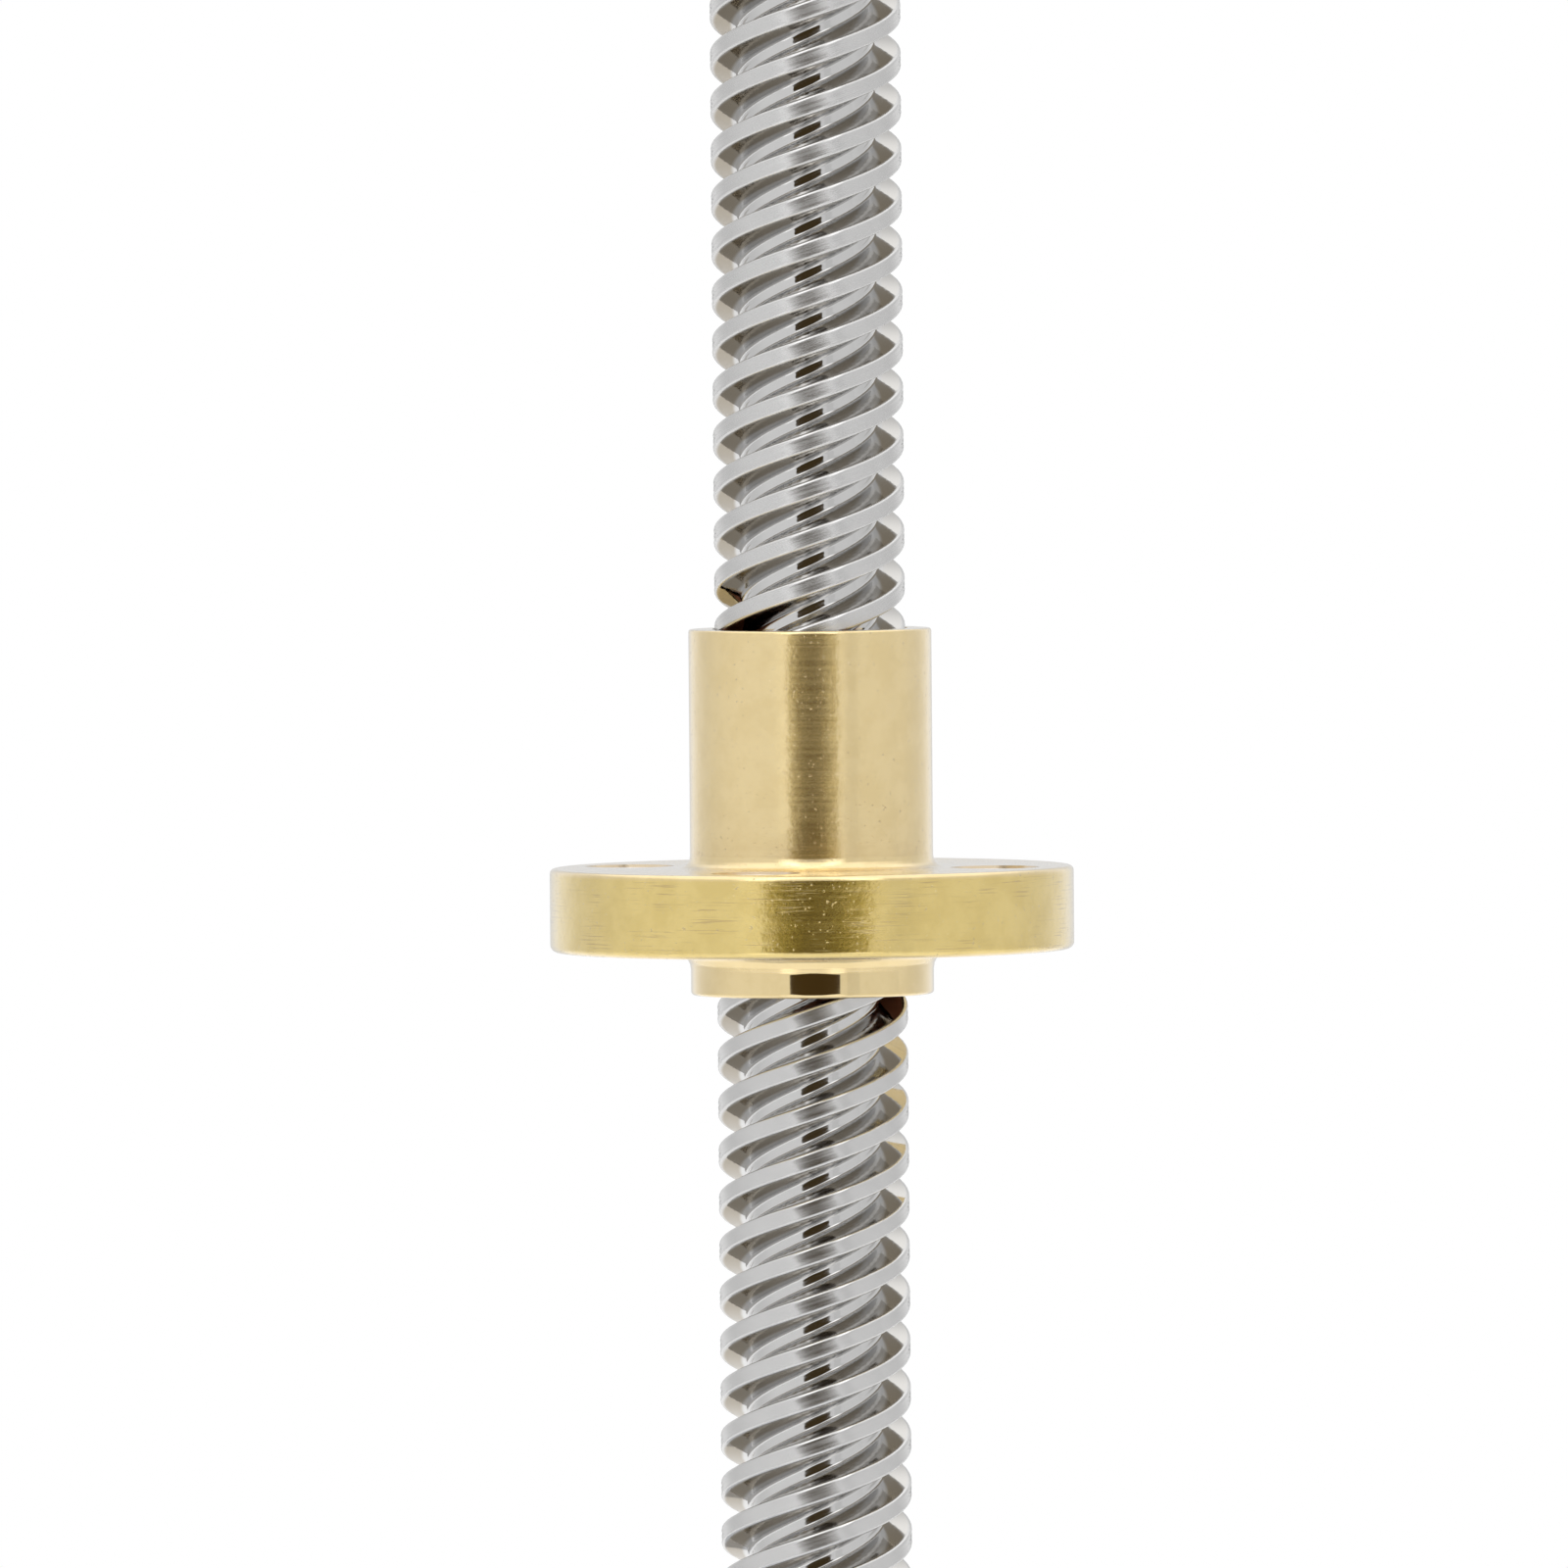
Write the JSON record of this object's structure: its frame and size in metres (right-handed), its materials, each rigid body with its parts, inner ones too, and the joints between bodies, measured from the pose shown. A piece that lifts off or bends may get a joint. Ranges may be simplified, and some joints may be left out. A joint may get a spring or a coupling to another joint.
{
  "type": "stepper motor with lead screw",
  "caption": "Square hybrid stepper motor whose shaft is a multi-start trapezoidal lead screw carrying a round flanged brass nut that travels along it.",
  "frame": {"origin": "centre of the motor's rear face", "axes": "+Z along the lead screw, out of the motor's front face; -Y is the side with the connector"},
  "size_m": [0.0424, 0.0446, 0.14],
  "materials": {
    "cast_aluminium": "die-cast, machined on the faces",
    "black_laminations": "stacked laminations under thin black lacquer",
    "white_insulator": "moulded, matte",
    "enamelled_copper": "enamelled copper wire, wound",
    "green_board": "glass-epoxy board with solder mask",
    "ivory_nylon": "moulded nylon",
    "tinned_pin": "tin-plated, bright",
    "zinc_screw": "zinc-plated",
    "bearing_steel": "ground bearing steel",
    "shield_steel": "pressed sheet, satin",
    "rotor_steel": "ground silicon-steel laminations",
    "dark_magnet": "dark sintered magnet",
    "stainless_screw": "rolled stainless thread: satin crests, bright roots",
    "nut_brass": "turned brass"
  },
  "bodies": {
    "housing": {"front_end_bell": "cast_aluminium", "rear_end_bell": "cast_aluminium", "stator_core": "black_laminations", "front_bobbin": "white_insulator", "rear_bobbin": "white_insulator", "coil_1": "enamelled_copper", "coil_2": "enamelled_copper", "coil_3": "enamelled_copper", "coil_4": "enamelled_copper", "coil_5": "enamelled_copper", "coil_6": "enamelled_copper", "coil_7": "enamelled_copper", "coil_8": "enamelled_copper", "terminal_board": "green_board", "connector_shell": "ivory_nylon", "connector_pin_1": "tinned_pin", "connector_pin_2": "tinned_pin", "connector_pin_3": "tinned_pin", "connector_pin_4": "tinned_pin", "connector_pin_5": "tinned_pin", "connector_pin_6": "tinned_pin", "case_screw_1": "zinc_screw", "case_screw_2": "zinc_screw", "case_screw_3": "zinc_screw", "case_screw_4": "zinc_screw", "rear_bearing_outer_ring": "bearing_steel", "front_bearing_outer_ring": "bearing_steel", "wave_washer": "bearing_steel", "rear_bearing_rear_shield": "shield_steel", "rear_bearing_front_shield": "shield_steel", "front_bearing_rear_shield": "shield_steel", "front_bearing_front_shield": "shield_steel"},
    "rotor": {"lead_screw": "stainless_screw", "rotor_core_rear": "rotor_steel", "rotor_core_front": "rotor_steel", "rotor_magnet": "dark_magnet", "rotor_spacer_rear": "bearing_steel", "rotor_spacer_front": "bearing_steel", "rear_bearing_inner_ring": "bearing_steel", "front_bearing_inner_ring": "bearing_steel"},
    "nut": {"lead_nut": "nut_brass"},
    "rear_balls": {"rear_bearing_balls": "bearing_steel"},
    "front_balls": {"front_bearing_balls": "bearing_steel"}
  },
  "joints": [
    {"name": "rotor_spin", "type": "hinge", "parent": "housing", "child": "rotor", "pos_m": [0, 0, 0.04], "axis": [0, 0, 1], "range_deg": [-1980, 1530]},
    {"name": "nut_travel", "type": "slide", "parent": "housing", "child": "nut", "axis": [0, 0, 1], "range_m": [-0.0341, 0.0441]},
    {"name": "rear_balls_roll", "type": "hinge", "parent": "housing", "child": "rear_balls", "pos_m": [0, 0, 0.0045], "axis": [0, 0, 1], "range_deg": [-733, 567]},
    {"name": "front_balls_roll", "type": "hinge", "parent": "housing", "child": "front_balls", "pos_m": [0, 0, 0.036], "axis": [0, 0, 1], "range_deg": [-733, 567]}
  ],
  "couplings": [
    {"joint": "nut_travel", "follows": "rotor_spin", "m_per_rad": -0.0012732},
    {"joint": "rear_balls_roll", "follows": "rotor_spin", "ratio": 0.37},
    {"joint": "front_balls_roll", "follows": "rotor_spin", "ratio": 0.37}
  ]
}
